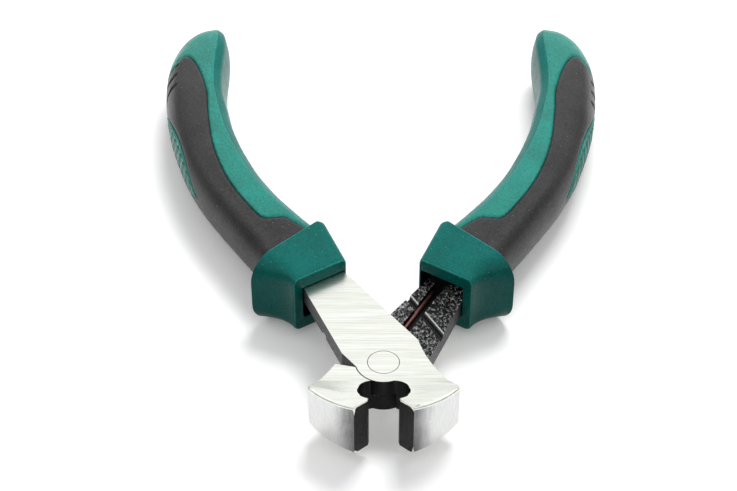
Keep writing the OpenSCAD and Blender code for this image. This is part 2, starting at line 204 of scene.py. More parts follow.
def jaw_front_finish():
    """The round front, ground last. A painted reflection makes it bright outside and darker grey
    beside the gap, where it mirrors the shadowed bench.
    """
    finish = Finish("jaw_front")
    shaded_grey_near, grey_far = shade(112, 110, 112), shade(222, 223, 222)
    shaded_dark_near, dark_far = shade(93, 91, 94), shade(205, 206, 205)
    painted_shade_to, bright_from, ragged = 4.4, 9.0, 3.0
    across = finish.add("SeparateXYZ", None, {0: finish.place()}, out="X")
    across = finish.math("ABSOLUTE", across)
    cloud = finish.noise((0.5, 0.5, 0.14), detail=4.0, roughness=0.6)
    lines = finish.noise((6.0, 6.0, 0.5), detail=3.0, roughness=0.6)
    grit = finish.noise((7.0, 7.0, 6.0), detail=3.0, roughness=0.8)
    # painted reflection: the front darkens towards the gap, where it would mirror the bench in
    # the tool's shadow
    outwards = finish.step(across + (cloud - 0.5) * ragged, painted_shade_to, bright_from)
    grey = finish.mix(outwards, shaded_grey_near, grey_far)
    dark = finish.mix(outwards, shaded_dark_near, dark_far)
    texture = finish.step(lines * 0.4 + grit * 0.6, 0.4, 0.6)
    return finish.surface(
        Base_Color=finish.mix(texture, dark, grey), Metallic=1.0,
        Roughness=finish.over(grit, 0.44, 0.3),
        Normal=finish.bump(lines + grit, strength=0.12, distance=0.02))


def black_skin_finish():
    """Hard black oxide on the bevels, the throat and the walls of the joint."""
    finish = Finish("black_skin")
    deep, pale = shade(17, 17, 18), shade(34, 33, 34)
    grain = finish.noise((3.0, 3.0, 1.2), detail=3.0)
    return finish.surface(
        Base_Color=finish.mix(grain, deep, pale), Specular_IOR_Level=0.2,
        Roughness=finish.over(grain, 0.55, 0.4),
        Normal=finish.bump(grain, strength=0.1, distance=0.05))


def forged_side_finish():
    """Edges of the tang: darker steel as it left the die and the trimming press."""
    finish = Finish("forged_side")
    deep, pale = shade(66, 64, 66), shade(112, 110, 111)
    grain = finish.noise((1.6, 1.6, 3.0), detail=4.0, roughness=0.6)
    return finish.surface(
        Base_Color=finish.mix(grain, deep, pale), Metallic=0.7,
        Roughness=finish.over(grain, 0.55, 0.38),
        Normal=finish.bump(grain, strength=0.35, distance=0.08))


def forged_inside_finish():
    """Inner face of the tang: a rough black forging skin with bright worn peaks."""
    finish = Finish("forged_inside")
    hollow, peak = shade(54, 53, 55), shade(205, 205, 204)
    lumps = finish.noise((2.3, 1.5, 2.3), detail=3.0, roughness=0.6)
    ridges = finish.cells("SMOOTH_F1", (2.8, 1.8, 2.8))
    height = lumps + ridges * 0.5
    peaks = finish.step(height, 0.64, 0.95)
    return finish.surface(
        Base_Color=finish.mix(peaks, hollow, peak), Metallic=0.9,
        Roughness=finish.step(peaks, 0.0, 1.0, 0.34, 0.24),
        Normal=finish.bump(height, strength=1.0, distance=1.0))


def lip_finish():
    """Far wall of the slot in the tang: worn bright along its lip, and painted black below for
    the shade in the slot's depth.
    """
    finish = Finish("slot_lip")
    black, bright = shade(22, 21, 22), shade(212, 214, 210)
    bright_to, fade, ragged = 0.26, 0.15, 0.2
    depth = finish.add("SeparateXYZ", None, {0: finish.place()}, out="Z")
    depth = finish.math("ABSOLUTE", depth - pivot.z / MM)
    grain = finish.noise((2.0, 2.0, 2.0), detail=3.0)
    # 1 on the worn lip and 0 deeper down, where the black is painted shade
    worn_lip_over_shade = finish.step(depth + grain * ragged, bright_to, bright_to + fade, 1.0, 0.0)
    return finish.surface(
        Base_Color=finish.mix(worn_lip_over_shade, black, bright), Metallic=worn_lip_over_shade,
        Roughness=finish.over(grain, 0.45, 0.3),
        Normal=finish.bump(grain, strength=0.1, distance=0.05))


steel_finishes = [
    ground_face_finish(), jaw_front_finish(), black_skin_finish(),
    forged_side_finish(), forged_inside_finish(), lip_finish()]
GROUND, FRONT, BLACK, SIDE, INSIDE, LIP = range(len(steel_finishes))

# millimetres from the rivet, in the lever with the jaws shut
joint_t = 6.8
lap_r = 4.8
open_half = math.radians(13.2)
front_back = 2.45
front_r = 16.5
front_near = 0.12
shoulder_y = 2.3
shoulder_margin = 0.4
bevel_from_y = 10.25
slot_from_y = 8.5
slot_wall_z = 0.75
lap_z = 0.2
# upward parts of a face's direction that tell what it belongs to
broad_from, rise_from, inside_to = 0.75, 0.3, -0.85
slot_wall_from, slot_wall_to = -0.9, -0.25

flat_within = math.radians(0.4)
least_edge = 0.07 * MM
front_round = 0.6 * MM
bevel_round = 0.3 * MM
round_segments = 4
edge_break = 0.1 * MM
edge_segments = 2
sharp_edge = math.radians(26)


def in_lever(vector, under):
    """A direction or place from the rivet, seen from the lever with the jaws shut."""
    x, y, z = (-vector.x, vector.y, -vector.z) if under else vector
    c, s = math.cos(open_half), math.sin(open_half)
    return Vector((x * c + y * s, y * c - x * s, z))


def steel_finish_at(place, normal):
    """Which finish a face of a lever has, from its place and normal in the lever."""
    x, y, z = place
    up = normal.z
    if y < -shoulder_y - shoulder_margin and (abs(up) > broad_from or up > rise_from):
        return GROUND
    if up > broad_from:
        return GROUND
    if up < inside_to and z < lap_z:
        return INSIDE
    if slot_wall_from < up < slot_wall_to and y > slot_from_y:
        return LIP
    on_front = abs(math.hypot(x, y - front_back) - front_r) < front_near
    if on_front and y < -shoulder_y and abs(up) < rise_from:
        return FRONT
    # the black skin on the slot's floor and lower walls is painted shade of the slot's depth
    if y < lap_r or up < slot_wall_from or (y > slot_from_y and z < slot_wall_z):
        return BLACK
    return SIDE


def edges_between(bm, first, second, under, front_of_y):
    """Edges of the jaw where faces of two finishes meet, in front of a line."""
    found = []
    for edge in bm.edges:
        middle = (edge.verts[0].co + edge.verts[1].co) / 2
        kinds = {face.material_index for face in edge.link_faces}
        in_front = in_lever((middle - pivot) / MM, under).y < front_of_y
        if kinds == {first, second} and in_front:
            found.append(edge)
    return found


def steel_lever(node, name, body, under):
    """A lever's own solid with its edges broken and its finishes face by face."""
    bm = bmesh.new()
    bm.from_mesh(frame["nodes"][node].data)
    bmesh.ops.remove_doubles(bm, verts=bm.verts, dist=least_edge)
    bmesh.ops.dissolve_limit(
        bm, angle_limit=flat_within, verts=bm.verts, edges=bm.edges)
    for face in bm.faces:
        place = in_lever((face.calc_center_median() - pivot) / MM, under)
        face.material_index = steel_finish_at(place, in_lever(face.normal, under))
    for beside, offset, front_of_y in (
            (FRONT, front_round, -shoulder_y), (BLACK, bevel_round, -bevel_from_y)):
        bmesh.ops.bevel(
            bm, geom=edges_between(bm, GROUND, beside, under, front_of_y), offset=offset,
            segments=round_segments, profile=0.5, affect="EDGES", clamp_overlap=False,
            material=GROUND)
    mesh = bpy.data.meshes.new(name)
    bm.to_mesh(mesh)
    bm.free()
    if "custom_normal" in mesh.attributes:
        mesh.attributes.remove(mesh.attributes["custom_normal"])
    for finish in steel_finishes:
        mesh.materials.append(finish)
    mesh.shade_smooth()
    lever = bpy.data.objects.new(name, mesh)
    bpy.context.scene.collection.objects.link(lever)
    broken = lever.modifiers.new("broken_edges", "BEVEL")
    broken.width = edge_break
    broken.segments = edge_segments
    broken.limit_method = "ANGLE"
    broken.angle_limit = sharp_edge
    broken.harden_normals = True
    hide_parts(node)
    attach(lever, body)


steel_lever("upper_lever", "steel_lever_upper", "upper_half", under=False)
steel_lever("lower_lever", "steel_lever_lower", "lower_half", under=True)


# ---------------------------------------------------------------------------
# The rivet. A steel pin with conical heads, pressed and then ground flush with both
# levers, so only a thin dark ring shows round each head.
# ---------------------------------------------------------------------------
def ring_faces(rings, sides):
    """Faces between each ring of points and the next one."""
    faces = []
    for i in range(rings - 1):
        for k in range(sides):
            n = (k + 1) % sides
            faces.append([i * sides + k, i * sides + n,
                          (i + 1) * sides + n, (i + 1) * sides + k])
    return faces


def end_faces(rings, sides):
    """The faces that close the first and the last ring."""
    last = (rings - 1) * sides
    return [list(range(sides)), list(range(last, last + sides))]


def mesh_piece(name, points, faces, finishes, body, sharp=30.0, finish_of=None):
    """A piece made of points in metres in the part's frame, shaded smooth but for its
    sharp edges. It rides on a body, if one is given."""
    mesh = bpy.data.meshes.new(name)
    mesh.from_pydata([tuple(p) for p in points], [], faces)
    for finish in finishes:
        mesh.materials.append(finish)
    if finish_of is not None:
        mesh.polygons.foreach_set("material_index", finish_of)
    bm = bmesh.new()
    bm.from_mesh(mesh)
    bmesh.ops.recalc_face_normals(bm, faces=bm.faces)
    bm.to_mesh(mesh)
    bm.free()
    mesh.shade_smooth()
    mesh.set_sharp_from_angle(angle=math.radians(sharp))
    piece = bpy.data.objects.new(name, mesh)
    bpy.context.scene.collection.objects.link(piece)
    if body is not None:
        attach(piece, body)
    return piece


rivet_r = 2.1
head_r = 2.8
head_t = 0.7
head_edge = 0.09
rivet_sides = 96


def rivet():
    """A turned profile, from the middle of the upper head to that of the lower one."""
    half = joint_t / 2
    upper = [(head_r / 2, half), (head_r - head_edge, half), (head_r, half - head_edge),
             (rivet_r, half - head_t)]
    profile = upper + [(r, -z) for r, z in reversed(upper)]
    points = []
    for r, z in profile:
        for k in range(rivet_sides):
            a = math.tau * k / rivet_sides
            points.append(pivot + Vector((r * math.cos(a), r * math.sin(a), z)) * MM)
    rings = len(profile)
    faces = ring_faces(rings, rivet_sides) + end_faces(rings, rivet_sides)
    ground, black = 0, 1
    finish_of = []
    for i in range(rings - 1):
        finish_of += [ground if i in (0, rings - 2) else black] * rivet_sides
    finish_of += [ground, ground]
    piece = mesh_piece(
        "flush_rivet", points, faces, [steel_finishes[GROUND], steel_finishes[BLACK]],
        "lower_half", finish_of=finish_of)
    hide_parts("pivot_rivet")


rivet()


# ---------------------------------------------------------------------------
# The return spring. One thin drawn wire with a copper tone: a leg in the channel of
# each lever and a turn round the rivet that sinks from one lever's side to the other's.
# ---------------------------------------------------------------------------
wire_d = 0.7
turn_r = 2.75
leg_z = 0.65
leg_lean = math.radians(15.7)
leg_len = 24.0
wire_sides = 14
leg_steps = 16
turn_steps = 72
end_round_steps = 4


def spring_path():
    """Middle of the wire, from the end of one leg to the end of the other."""
    start = leg_lean + open_half
    leg = [(turn_r, leg_len * i / leg_steps) for i in range(leg_steps, 0, -1)]
    c, s = math.cos(start), math.sin(start)
    first = [Vector((x * c - y * s, x * s + y * c, leg_z)) for x, y in leg]
    turn = []
    for i in range(turn_steps + 1):
        a = start - (math.pi + 2 * start) * i / turn_steps
        turn.append(Vector((turn_r * math.cos(a), turn_r * math.sin(a),
                            leg_z * math.cos(math.pi * i / turn_steps))))
    second = [Vector((-p.x, p.y, -p.z)) for p in reversed(first)]
    return first + turn + second


def wire_finish():
    """Drawn wire, a dull copper brown with slightly brighter patches."""
    finish = Finish("spring_wire")
    deep, bright = shade(94, 58, 55), shade(150, 104, 98)
    drawn = finish.noise((1.2, 1.2, 1.2), detail=3.0)
    return finish.surface(
        Base_Color=finish.mix(drawn, deep, bright), Metallic=0.9,
        Roughness=finish.over(drawn, 0.3, 0.42),
        Normal=finish.bump(drawn, strength=0.1, distance=0.03))


def return_spring():
    """The wire as rings along its path, with both of its ends rounded."""
    path = spring_path()
    last = len(path) - 1
    rings = []
    for i, spot in enumerate(path):
        ahead = (path[min(i + 1, last)] - path[max(i - 1, 0)]).normalized()
        rings.append((spot, ahead, 1.0))
    head_ahead, tail_ahead = rings[0][1], rings[-1][1]
    for k in range(1, end_round_steps + 1):
        a = math.pi / 2 * k / (end_round_steps + 0.5)
        reach, size = wire_d / 2 * math.sin(a), math.cos(a)
        rings.insert(0, (path[0] - head_ahead * reach, head_ahead, size))
        rings.append((path[-1] + tail_ahead * reach, tail_ahead, size))
    points = []
    for spot, ahead, size in rings:
        side = ahead.cross(Vector((0, 0, 1))).normalized()
        up = side.cross(ahead)
        reach = size * wire_d / 2
        for k in range(wire_sides):
            a = math.tau * k / wire_sides
            off = side * math.cos(a) * reach + up * math.sin(a) * reach
            points.append(pivot + (spot + off) * MM)
    faces = ring_faces(len(rings), wire_sides) + end_faces(len(rings), wire_sides)
    spring = mesh_piece("wire_spring", points, faces, [wire_finish()], None,
                        sharp=50.0)
    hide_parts("return_spring")
    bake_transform(spring)


return_spring()


# ---------------------------------------------------------------------------
# The grips. Each is moulded in two shots: first a hard teal body over the lever's
# core, with the collar and finger guard, then a soft charcoal cover over its outer
# side, flush with the body but for a fine rounded seam. The cover leaves a lens-shaped
# window to the hard body, and has three slanted grooves near its end.
# ---------------------------------------------------------------------------
# millimetres from the rivet, in the left lever with the jaws shut
grip_root_y = 27.0
grip_end_y = 106.0
grip_len = grip_end_y - grip_root_y
grip_bow = 20.0
grip_w = 13.8
grip_t = 14.0
cover_wall = 1.7
seam_gap = 0.05
least_share = 0.3
# place along the grip, then centre line, width and thickness as shares
grip_stations = np.array([
    [0, 0.43, 0.942, 0.97], [0.0875, 0.503, 0.993, 0.97], [0.1625, 0.625, 0.942, 0.975],
    [0.2375, 0.743, 0.891, 0.98], [0.325, 0.855, 0.884, 0.985],
    [0.4125, 0.93, 0.899, 0.99], [0.4875, 0.973, 0.906, 0.995], [0.5625, 0.995, 0.913, 1],
    [0.6375, 0.995, 0.928, 1], [0.7125, 0.978, 0.906, 1], [0.7875, 0.936, 0.925, 1],
    [0.85, 0.884, 0.945, 1], [0.9, 0.829, 0.93, 0.985], [0.9375, 0.781, 0.865, 0.96],
    [0.9625, 0.745, 0.775, 0.92], [0.98125, 0.709, 0.655, 0.85],
    [0.99375, 0.677, 0.5, 0.75], [1, 0.652, 0.34, 0.62]])
# the cover's edge on top of the grip: place along it, and the bow's share across
seam_stations = np.array([
    [0.135, 0.43], [0.149, 0.485], [0.1525, 0.58], [0.161, 0.675], [0.1825, 0.725],
    [0.2125, 0.77], [0.254, 0.826], [0.296, 0.873], [0.341, 0.911], [0.391, 0.936],
    [0.45, 0.95], [0.504, 0.945], [0.5625, 0.925], [0.621, 0.9], [0.681, 0.865],
    [0.726, 0.86], [0.769, 0.868], [0.8075, 0.885], [0.842, 0.915], [0.867, 0.955],
    [0.877, 1.01], [0.875, 1.07], [0.862, 1.12], [0.82, 1.5]])
mouth_mid = np.array([-6.25, 22.85])
mouth_w = 11.4
mouth_t = 12.4
mouth_angle = math.radians(20)
mouth_out = -np.array([math.cos(mouth_angle), math.sin(mouth_angle)])
ridge_mid = np.array([-10.75, 30.75])
ridge_w = 18.2
ridge_t = 15.4
ridge_angle = math.radians(31.5)
ridge_out = -np.array([math.cos(ridge_angle), math.sin(ridge_angle)])
ridge_rear = np.array([math.sin(ridge_angle), math.cos(ridge_angle)])
rear_round = 0.9


def smooth_curve(a, b, c, d, t):
    """The way from b to c at t from 0 to 1, on a curve that comes from a and goes to d."""
    return b + t / 2 * (
        c - a + t * (2 * a - 5 * b + 4 * c - d + t * (3 * (b - c) + d - a)))


def along(rows, s, column):
    """A column of a table at places along the grip, on a smooth curve through its rows."""
    last = len(rows) - 1
    i = np.clip(np.searchsorted(rows[:, 0], s, side="right") - 1, 0, last - 1)
    t = (s - rows[i, 0]) / (rows[i + 1, 0] - rows[i, 0])
    value = rows[:, column]
    return smooth_curve(value[np.maximum(i - 1, 0)], value[i], value[i + 1],
                        value[np.minimum(i + 2, last)], t)


end_round = 0.012
end_size = 0.35


def grip_surface(s, across, up, inset):
    """Points of the grip's form taken in by an inset, in the lever, in millimetres."""
    past = np.clip((s - 1 + end_round) / end_round, 0, 1)
    size = end_size + (1 - end_size) * np.sqrt(1 - past ** 2)
    full_w = grip_w * along(grip_stations, s, 2) * size
    full_h = grip_t * np.minimum(along(grip_stations, s, 3), 1) * size
    w = np.maximum(full_w - 2 * inset, full_w * least_share)
    h = np.maximum(full_h - 2 * inset, full_h * least_share)
    x = -grip_bow * along(grip_stations, s, 1) + w / 2 - across * w
    return np.stack([x, grip_root_y + (grip_len - inset) * s, up * h / 2], axis=-1)


fine_steps = 40


def through(points, before, after, steps=fine_steps):
    """A smooth line through points, with the points that it comes from and goes to."""
    p = np.array([before] + list(points) + [after], float)
    t = np.linspace(0, 1, steps, endpoint=False)[:, None]
    runs = [smooth_curve(p[i - 1], p[i], p[i + 1], p[i + 2], t)
            for i in range(1, len(p) - 2)]
    return np.concatenate(runs + [p[-2:-1]])


def even_loop(points, count, weight=None):
    """Count points along a closed line, closer together where their weight is larger."""
    ends = np.concatenate([points, points[:1]])
    steps = np.linalg.norm(np.diff(ends, axis=0), axis=1)
    if weight is not None:
        steps = steps * weight((ends[1:] + ends[:-1]) / 2)
    run = np.concatenate([[0], np.cumsum(steps)])
    wanted = np.linspace(0, run[-1], count, endpoint=False)
    return np.stack([np.interp(wanted, run, ends[:, k])
                     for k in range(points.shape[1])], axis=1)


usual_w = 0.91
section_size = np.array([grip_w * usual_w, grip_t / 2])
section_columns = 136
section_fine = 1440
rounding_passes = 160
outer_from = 0.45
outer_density = 1.5


def grip_section():
    """Closed section of the grip: shares across it from its inner side, and up it."""
    wall = through([(0, 0), (0.012, 0.35), (0.04, 0.63), (0.065, 0.81)],
                   (0.012, -0.35), (0.085, 0.94))
    bevel = np.linspace((0.065, 0.81), (0.195, 1), fine_steps)
    flat = np.linspace((0.195, 1), (0.4, 1), fine_steps)
    side = through([(0.4, 1), (0.54, 0.975), (0.67, 0.91), (0.79, 0.79), (0.88, 0.64),
                    (0.95, 0.44), (0.988, 0.22), (1, 0)], (0.28, 1), (0.988, -0.22))
    upper = np.concatenate([wall[:-1], bevel[:-1], flat[:-1], side])
    lower = upper[-2:0:-1] * (1, -1)
    loop = even_loop(np.concatenate([upper, lower]) * section_size, section_fine)
    for _ in range(rounding_passes):
        loop = (np.roll(loop, 1, axis=0) + 2 * loop + np.roll(loop, -1, axis=0)) / 4
    outer_x = outer_from * section_size[0]
    return even_loop(loop, section_columns, lambda p: np.where(
        p[:, 0] > outer_x, outer_density, 1.0)) / section_size


def distance_to(points, line):
    """Distance of points in a plane from an open line of straight runs."""
    nearest = np.full(len(points), np.inf)
    for a, b in zip(line[:-1], line[1:]):
        run = b - a
        t = np.clip(((points - a) @ run) / (run @ run), 0, 1)
        off = np.linalg.norm(points - a - t[:, None] * run, axis=1)
        nearest = np.minimum(nearest, off)
    return nearest


def lies_inside(points, outline):
    """Which points in a plane lie inside a closed outline."""
    inside = np.zeros(len(points), bool)
    for a, b in zip(outline, np.roll(outline, -1, axis=0)):
        if a[1] != b[1]:
            crosses = (a[1] > points[:, 1]) != (b[1] > points[:, 1])
            reach = a[0] + (points[:, 1] - a[1]) / (b[1] - a[1]) * (b[0] - a[0])
            inside ^= crosses & (points[:, 0] < reach)
    return inside


cover_tuck = 0.5
# shares of the guard's width, from its middle: where the cover's edge leaves the guard,
# the point that it comes from, and one past the grip's outer side
seam_foot, seam_before, seam_beyond = -0.32, -0.5, 2.5
seam_after = (-4, 0)


def cover_field(plan):
    """How far inside the soft cover's edge a spot lies, seen from above."""
    def in_guard(share):
        back = ridge_rear * (rear_round - cover_tuck)
        return ridge_mid + ridge_out * ridge_w * share + back
    edge = [in_guard(seam_foot)] + [
        np.array([-grip_bow * b, grip_root_y + grip_len * s]) for s, b in seam_stations]
    edge = through(edge, in_guard(seam_before), edge[-1] + seam_after, steps=8)
    outline = np.concatenate([edge, [in_guard(seam_beyond)]])
    closed = np.concatenate([outline, outline[:1]])
    depth = distance_to(plan, closed)
    return np.where(lies_inside(plan, outline), depth, -depth)


lens_y = 70.0
lens_reach = 14.2
lens_rise = 3.6
lens_sink = 0.45
lens_slope = 0.25
rim_w = 0.4
outer_side_from = 0.6


def lens_field(points):
    """How far inside the lens-shaped window a spot lies, seen from the side."""
    radius = (lens_reach ** 2 + lens_rise ** 2) / (2 * lens_rise)
    y, z = points[:, 1] - lens_y, points[:, 2]
    lower = radius - np.hypot(y, z - (radius - lens_rise))
    upper = radius - np.hypot(y, z + (radius - lens_rise))
    return np.minimum(lower, upper)


grooves = 3
groove_y = 87.0
groove_step = 3.5
groove_w = 0.95
groove_t = 0.75
groove_mid_z = 1.0
groove_reach = grip_t * 0.45
groove_fade = 1.5
# a groove's route: steps along the grip, and shares of the grip's thickness up it
groove_shares = np.array([[0.1, 0.36], [0, 0.18], [-0.5, 0], [-1, -0.25]])


def groove_depth(points):
    """Depth of the three slanted grooves at spots on the outer side."""
    depth = np.zeros(len(points))
    off_middle = np.abs(points[:, 2] - groove_mid_z)
    fade = np.clip((groove_reach - off_middle) / groove_fade, 0, 1)
    for i in range(grooves):
        route = groove_shares * (groove_step, grip_t) + (groove_y + i * groove_step, 0)
        line = through(route, 2 * route[0] - route[1], 2 * route[-1] - route[-2], steps=5)
        off = distance_to(points[:, 1:3], line) / (groove_w / 2)
        cut = groove_t * fade * np.sqrt(np.clip(1 - off ** 2, 0, 1))
        depth = np.maximum(depth, cut)
    return depth


rib_step = 2.6
rib_rise = 0.3
rib_lean = 0.45
rib_margin = 0.95
rib_fade = 0.25
rib_foot, rib_flank = 0.27, 0.07


def rib_height(points, inside):
    """Plain slanted ribs on the window's face, clear of its rim."""
    leaning = points[:, 1] - lens_y + rib_lean * points[:, 2]
    off = np.abs((leaning / rib_step) % 1.0 - 0.5)
    ridge = np.clip((rib_foot - off) / rib_flank, 0, 1)
    return rib_rise * ridge * np.clip((inside - rib_margin) / rib_fade, 0, 1)


def cut_cells(rows, cells, field):
    """Cells above and below the field's zero line, cut along it, and the rows of
    vertex values with those of the new corners on the line added."""
    above = field > 0
    count = above[cells].sum(axis=1)
    over = cells[count == 4].tolist()
    under = cells[count == 0].tolist()
    new_rows, corner_at = [], {}

    def crossing(a, b):
        key = (min(a, b), max(a, b))
        if key not in corner_at:
            t = field[key[0]] / (field[key[0]] - field[key[1]])
            corner_at[key] = len(rows) + len(new_rows)
            new_rows.append(rows[key[0]] * (1 - t) + rows[key[1]] * t)
        return corner_at[key]

    for cell in cells[(count > 0) & (count < 4)].tolist():
        sides = {True: [], False: []}
        for a, b in zip(cell, cell[1:] + cell[:1]):
            sides[bool(above[a])].append(a)
            if above[a] != above[b]:
                corner = crossing(a, b)
                sides[True].append(corner)
                sides[False].append(corner)
        over.append(sides[True])
        under.append(sides[False])
    return over, under, np.concatenate([rows, np.array(new_rows)])


def open_edges(cells):
    """Edges that only one of the cells has, in the direction in which it runs."""
    runs = set()
    for cell in cells:
        for a, b in zip(cell, cell[1:] + cell[:1]):
            if (b, a) in runs:
                runs.remove((b, a))
            else:
                runs.add((a, b))
    return sorted(runs)


first_ring_y = grip_root_y + 3.5
# the space between rings, at places along the lever
ring_gaps = np.array([[27, 0.5], [50, 0.48], [56, 0.28], [81, 0.24], [96, 0.24],
                      [100, 0.34], [104.5, 0.2], [106, 0.05]])
guard_slope = 0.613
neck_share = 0.95
slanted_to, slanted_over = 0.17, 0.126


def grip_rows():
    """Vertex values of the grip's whole skin: place along, across and up. The first
    rings slant like the guard, so that they hide in it. Also its cells and columns."""
    ys = [first_ring_y]
    while ys[-1] < grip_end_y:
        ys.append(ys[-1] + float(np.interp(ys[-1], ring_gaps[:, 0], ring_gaps[:, 1])))
    ring_s = (np.array(ys[:-1] + [grip_end_y]) - grip_root_y) / grip_len
    section = grip_section()
    slant = guard_slope * grip_w * neck_share / grip_len * np.clip(
        (slanted_to - ring_s) / slanted_over, 0, 1)
    s = ring_s[:, None] - slant[:, None] * (section[None, :, 0] - 0.5)
    rows = np.stack([s, np.broadcast_to(section[:, 0], s.shape),
                     np.broadcast_to(section[:, 1], s.shape)], axis=-1).reshape(-1, 3)
    columns = len(section)
    i, k = np.meshgrid(np.arange(len(ring_s) - 1), np.arange(columns), indexing="ij")
    n = (k + 1) % columns
    cells = np.stack([i * columns + k, i * columns + n, (i + 1) * columns + n,
                      (i + 1) * columns + k], axis=-1).reshape(-1, 4)
    return rows, cells, columns


def in_part(points, side):
    """Places in the lever, jaws shut, as places in the part, in metres."""
    c, s = math.cos(open_half), math.sin(open_half)
    x = points[:, 0] * c - points[:, 1] * s
    y = points[:, 0] * s + points[:, 1] * c
    z = points[:, 2]
    if side == "right":
        x, z = -x, -z
    return np.stack([x, y, z], axis=1) * MM + np.array(pivot)


window_near = 0.6
body_edge_w, body_edge_sink = 0.3, 0.3
cover_edge_w, cover_edge_sink = 0.8, 0.42


def skin_points(rows, cover, window, body_side):
    """Outer points of the cover, or of the body, with the seam's rounded edge."""
    off_cover, off_window = np.abs(cover), np.abs(window)
    off_seam = np.where(
        window > -window_near, np.minimum(off_window, off_cover), off_cover)
    base = grip_surface(rows[:, 0], rows[:, 1], rows[:, 2], 0.0)
    if body_side:
        sink = body_edge_sink * np.clip(1 - off_seam / body_edge_w, 0, 1) ** 2
        face = np.clip((window - rim_w) / lens_slope, 0, 1)
        sunk = lens_sink * face + sink - rib_height(base, window)
        sink = np.where(window > 0, sunk, sink)
    else:
        sink = cover_edge_sink * np.clip(1 - off_seam / cover_edge_w, 0, 1) ** 2
        sink = sink + groove_depth(base)
    return grip_surface(rows[:, 0], rows[:, 1], rows[:, 2], sink)


def plastic_finish(name, deep, light, scuff, grain, gloss):
    """Satin moulded plastic: a fine speckle from the spark-eroded mould, a slow drift
    of tone and small bright scuffs."""
    finish = Finish(name)
    scuff_size, scuff_fade, scuff_strength = 0.1, 0.07, 0.45
    speckle = finish.noise((2.2, 2.2, 2.2), detail=4.0, roughness=0.75)
    drift = finish.noise((0.15, 0.15, 0.15), detail=3.0)
    tone = finish.step(speckle * 0.75 + drift * 0.25, 0.4, 0.6)
    ragged = finish.noise((0.3, 0.3, 0.3), detail=2.0)
    scuffs = finish.step(finish.cells("F1", (0.8, 0.8, 0.8)) + ragged * 0.12,
                         scuff_size, scuff_size + scuff_fade, 1.0, 0.0)
    colour = finish.mix(tone, deep, light)
    return finish.surface(
        Base_Color=finish.mix(scuffs * scuff_strength, colour, scuff),
        Roughness=finish.over(speckle, 0.4, 0.26), Specular_IOR_Level=gloss,
        Normal=finish.bump(speckle, strength=grain, distance=0.08))


hard_finishes = [
    plastic_finish("hard_plastic", shade(0, 108, 97), shade(8, 138, 125),
                   scuff=shade(120, 190, 180), grain=0.35, gloss=0.4),
    # painted shade: the hole in the collar's mouth is a near-black teal for the shade inside it
    plastic_finish("collar_hollow_painted_shade", shade(6, 20, 19), shade(9, 26, 25),
                   scuff=shade(9, 26, 25), grain=0.1, gloss=0.4),
    # the inner side and its bevel: smoother and less glossy, with a deeper teal painted as shade
    # on that inward band
    plastic_finish("smooth_plastic_painted_shade", shade(0, 98, 92), shade(4, 116, 108),
                   scuff=shade(90, 170, 160), grain=0.12, gloss=0.12),
    # painted shade: the collar is the grip's own plastic, given a deeper tone for the lesser
    # light that falls on it
    plastic_finish("collar_plastic_painted_shade", shade(0, 88, 82), shade(4, 106, 100),
                   scuff=shade(110, 180, 172), grain=0.3, gloss=0.15),
    # painted highlight: the rounded edges of the collar's mouth and ridge are a lighter teal
    # where they catch the light
    plastic_finish("collar_edge_painted_highlight", shade(6, 116, 108), shade(30, 140, 130),
                   scuff=shade(120, 190, 180), grain=0.2, gloss=0.3)]
HARD, HOLLOW_SHADE, SMOOTH_SHADED, SHADED_COLLAR, HIGHLIT_EDGE = range(len(hard_finishes))
soft_finish = plastic_finish("soft_plastic", shade(42, 42, 43), shade(59, 59, 60),
                             scuff=shade(140, 142, 142), grain=0.5, gloss=0.25)

corner_steps = 9
straight_steps = 5


def oblong(w, h, first_r, second_r):
    """Rounded oblong from 0 to w and -h/2 to h/2, with its own radius at each end."""
    corners = [
        (first_r, first_r - h / 2, first_r, 180),
        (w - second_r, second_r - h / 2, second_r, 270),
        (w - second_r, h / 2 - second_r, second_r, 0),
        (first_r, h / 2 - first_r, first_r, 90)]
    points = []
    for x, z, r, start in corners:
        for i in range(corner_steps + 1):
            a = math.radians(start + 90 * i / corner_steps)
            points.append((x + r * math.cos(a), z + r * math.sin(a)))
    loop = []
    for i, p in enumerate(points):
        loop.append(p)
        if i % (corner_steps + 1) == corner_steps:
            run = np.array(points[(i + 1) % len(points)]) - np.array(p)
            loop += [tuple(np.array(p) + run * k / straight_steps)
                     for k in range(1, straight_steps)]
    return np.array(loop)


side_hollow = 1.1
tip_round = 0.9
tip_from = 0.88
inner_corner = 1.3
lobe_corner = 5.0
least_corner = 0.2


def collar_ring(t, inset=0.0, back=0.0):
    """One ring of the collar, from its mouth at 0 to its guard ridge at 1."""
    hollow = side_hollow * 4 * t * (1 - t)
    mouth = [mouth_mid + side * mouth_out * mouth_w / 2 for side in (-1, 1)]
    ridge = [ridge_mid + side * ridge_out * ridge_w / 2 for side in (-1, 1)]
    in_tip = max(0.0, (t - tip_from) / (1 - tip_from))
    inner = mouth[0] + (ridge[0] - mouth[0]) * t + ridge_out * tip_round * (
        1 - math.sqrt(1 - in_tip ** 2))
    outer = mouth[1] + (ridge[1] - mouth[1]) * t - mouth_out * hollow
    w = np.linalg.norm(outer - inner)
    out = (outer - inner) / w
    h = mouth_t + (ridge_t - mouth_t) * t
    outer_corner = inner_corner + (lobe_corner - inner_corner) * t
    ring = oblong(w - 2 * inset, h - 2 * inset, max(inner_corner - inset, least_corner),
                  max(outer_corner - inset, least_corner))
    plan = inner + np.outer(ring[:, 0] + inset, out) + ridge_rear * back
    return np.column_stack([plan, ring[:, 1]])


mouth_round = 0.45
mouth_draw = 0.05
mouth_rings = 5
side_rings = 34
rear_rings = 6
